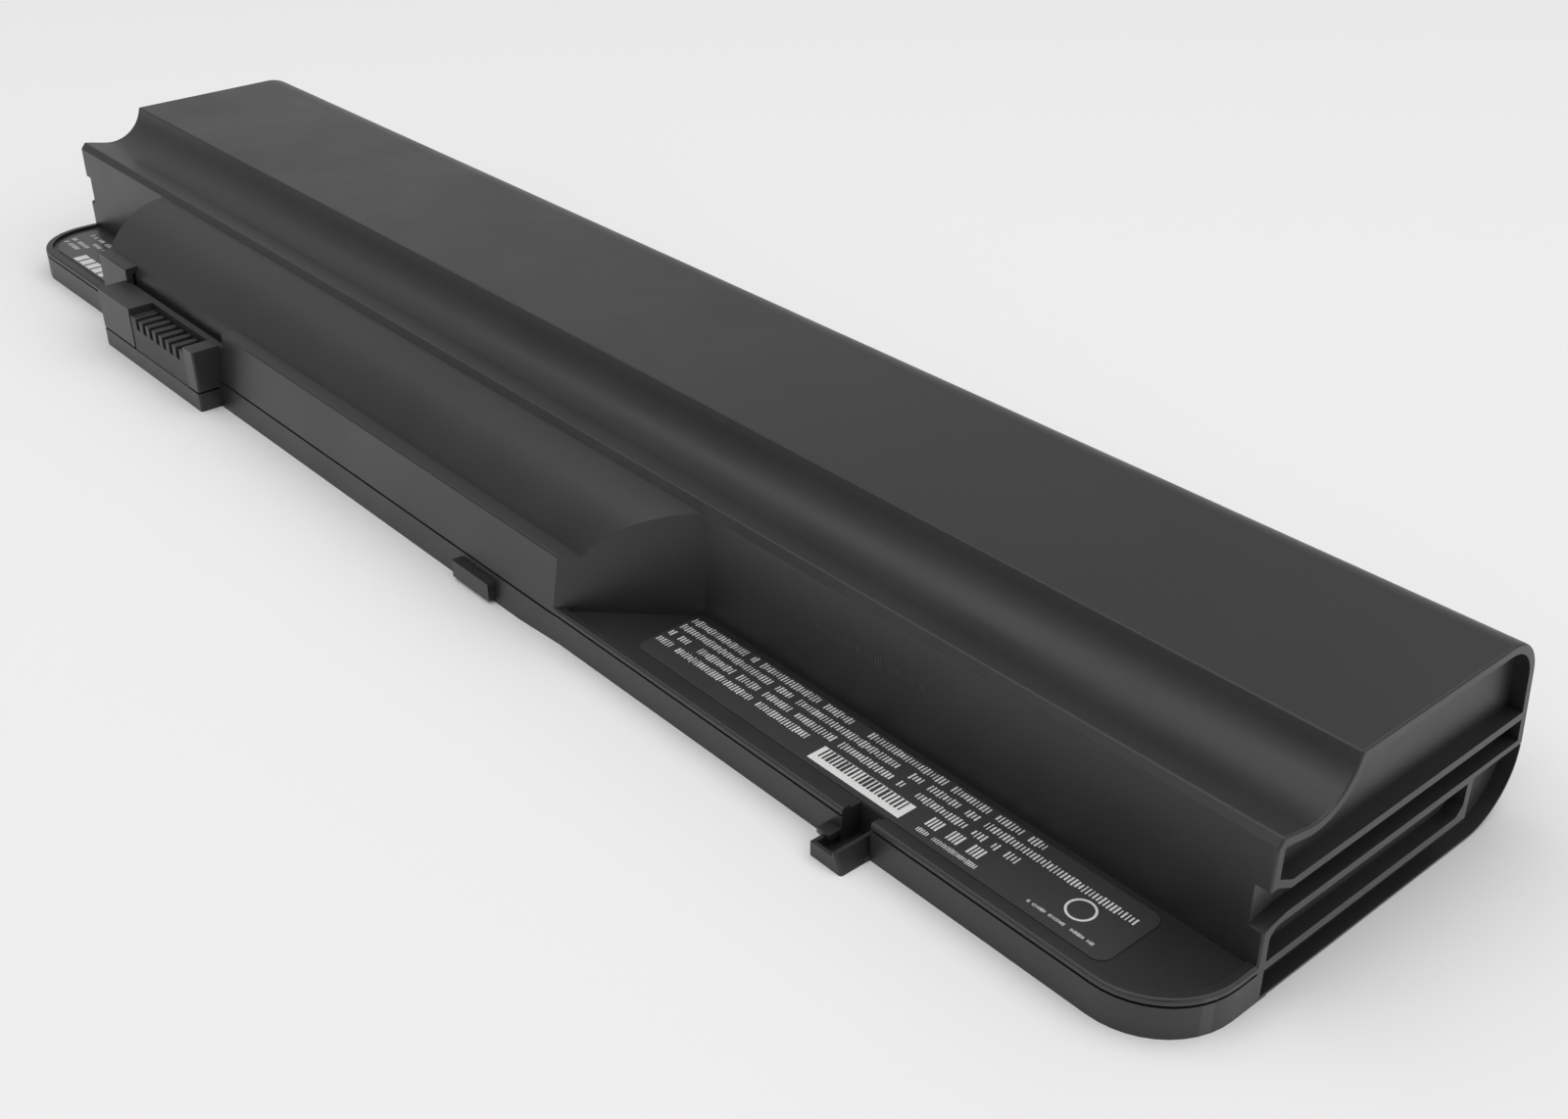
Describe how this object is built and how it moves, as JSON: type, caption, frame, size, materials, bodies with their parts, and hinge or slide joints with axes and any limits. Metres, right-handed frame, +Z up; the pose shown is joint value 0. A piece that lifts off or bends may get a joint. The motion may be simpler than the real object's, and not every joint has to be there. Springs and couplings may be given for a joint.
{
  "type": "laptop battery",
  "caption": "Slim laptop battery pack with a coved bay, a low front flange, a bulge with a slotted connector, a latch hook and ribbed guide ends.",
  "frame": {"origin": "on the underside, below the middle of the whole pack's box", "axes": "+X along the length, away from the connector's end, -Y towards the flange and the connector, +Z up"},
  "size_m": [0.221, 0.053, 0.0205],
  "materials": {
    "housing_plastic": "moulded, fine texture, charcoal black",
    "insert_plastic": "moulded, smooth black",
    "label_film": "printed film, satin black",
    "contact_metal": "gold-plated contact strip",
    "cell_sleeve": "shrink sleeve",
    "card": "insulating card",
    "strip_metal": "nickel strip",
    "wire_black": "insulated lead",
    "wire_red": "insulated lead",
    "wire_yellow": "insulated lead",
    "wire_white": "insulated lead",
    "cutoff_metal": "plated can",
    "board": "green solder resist",
    "chip_plastic": "moulded package",
    "fuse_ceramic": "ceramic",
    "resistor_body": "coated element",
    "capacitor_body": "ceramic"
  },
  "bodies": {
    "root": {"upper_housing": "housing_plastic", "lower_cover": "housing_plastic", "connector_insert": "insert_plastic", "label_film": "label_film", "left_label_film": "label_film", "contact_1": "contact_metal", "contact_2": "contact_metal", "contact_3": "contact_metal", "contact_4": "contact_metal", "contact_5": "contact_metal", "contact_6": "contact_metal", "contact_7": "contact_metal", "cell_1": "cell_sleeve", "cell_2": "cell_sleeve", "cell_3": "cell_sleeve", "insulator_ring_1": "card", "insulator_ring_2": "card", "insulator_ring_3": "card", "insulating_card": "card", "link_strip_1": "strip_metal", "link_strip_2": "strip_metal", "negative_strip": "strip_metal", "positive_strip": "strip_metal", "negative_wire": "wire_black", "positive_wire": "wire_red", "cutoff_wire": "wire_red", "tap_wire_1": "wire_yellow", "tap_wire_2": "wire_yellow", "thermistor": "wire_white", "thermal_cutoff": "cutoff_metal", "protection_board": "board", "controller_chip": "chip_plastic", "gauge_chip": "chip_plastic", "switch_transistor_1": "chip_plastic", "switch_transistor_2": "chip_plastic", "chemical_fuse": "fuse_ceramic", "sense_resistor": "resistor_body", "board_capacitors": "capacitor_body"}
  },
  "joints": []
}
